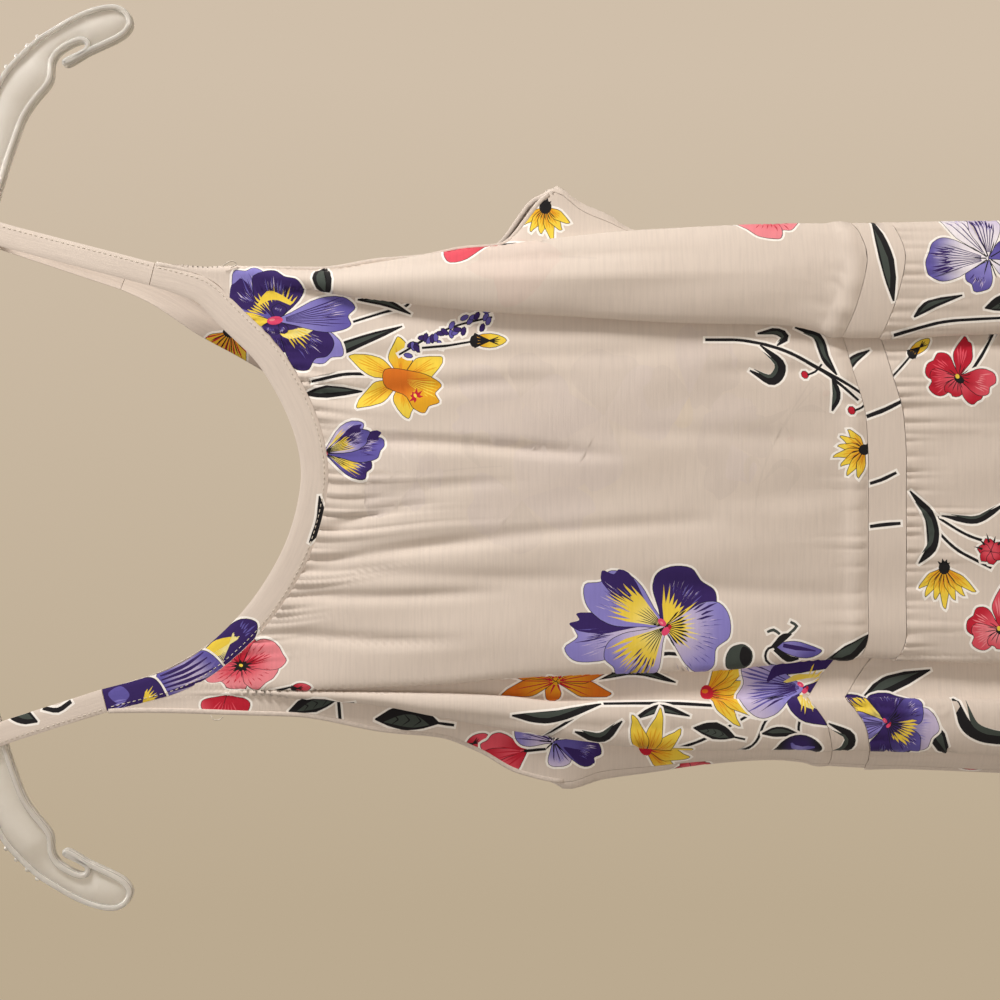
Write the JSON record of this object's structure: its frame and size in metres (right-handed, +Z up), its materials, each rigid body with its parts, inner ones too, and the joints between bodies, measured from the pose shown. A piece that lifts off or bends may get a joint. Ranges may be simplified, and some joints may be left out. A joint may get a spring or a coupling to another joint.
{
  "type": "sleeveless sundress on a plastic hanger",
  "caption": "Sleeveless midi sundress with thin straps, a gathered scoop neck, a waistband and a gathered skirt, on a moulded plastic hanger.",
  "frame": {"origin": "inside top of the hanger's hook, where a rod carries it", "axes": "+Z up, the dress's front faces -Y, +X is the viewer's right, looking at the front"},
  "size_m": [0.44, 0.0644, 1.2068],
  "materials": {
    "printed_cloth": "soft matt jersey, warm ivory with a garden-flower print",
    "binding_cloth": "folded and top-stitched jersey strip, warm ivory",
    "hanger_plastic": "frosted translucent moulded plastic"
  },
  "bodies": {
    "root": {"bodice_front": "printed_cloth", "bodice_back": "printed_cloth", "neck_binding_front": "binding_cloth", "neck_binding_back": "binding_cloth", "strap_left": "binding_cloth", "strap_right": "binding_cloth", "waistband_front": "printed_cloth", "waistband_back": "printed_cloth", "skirt_front": "printed_cloth", "skirt_back": "printed_cloth", "hanger": "hanger_plastic"}
  },
  "joints": []
}
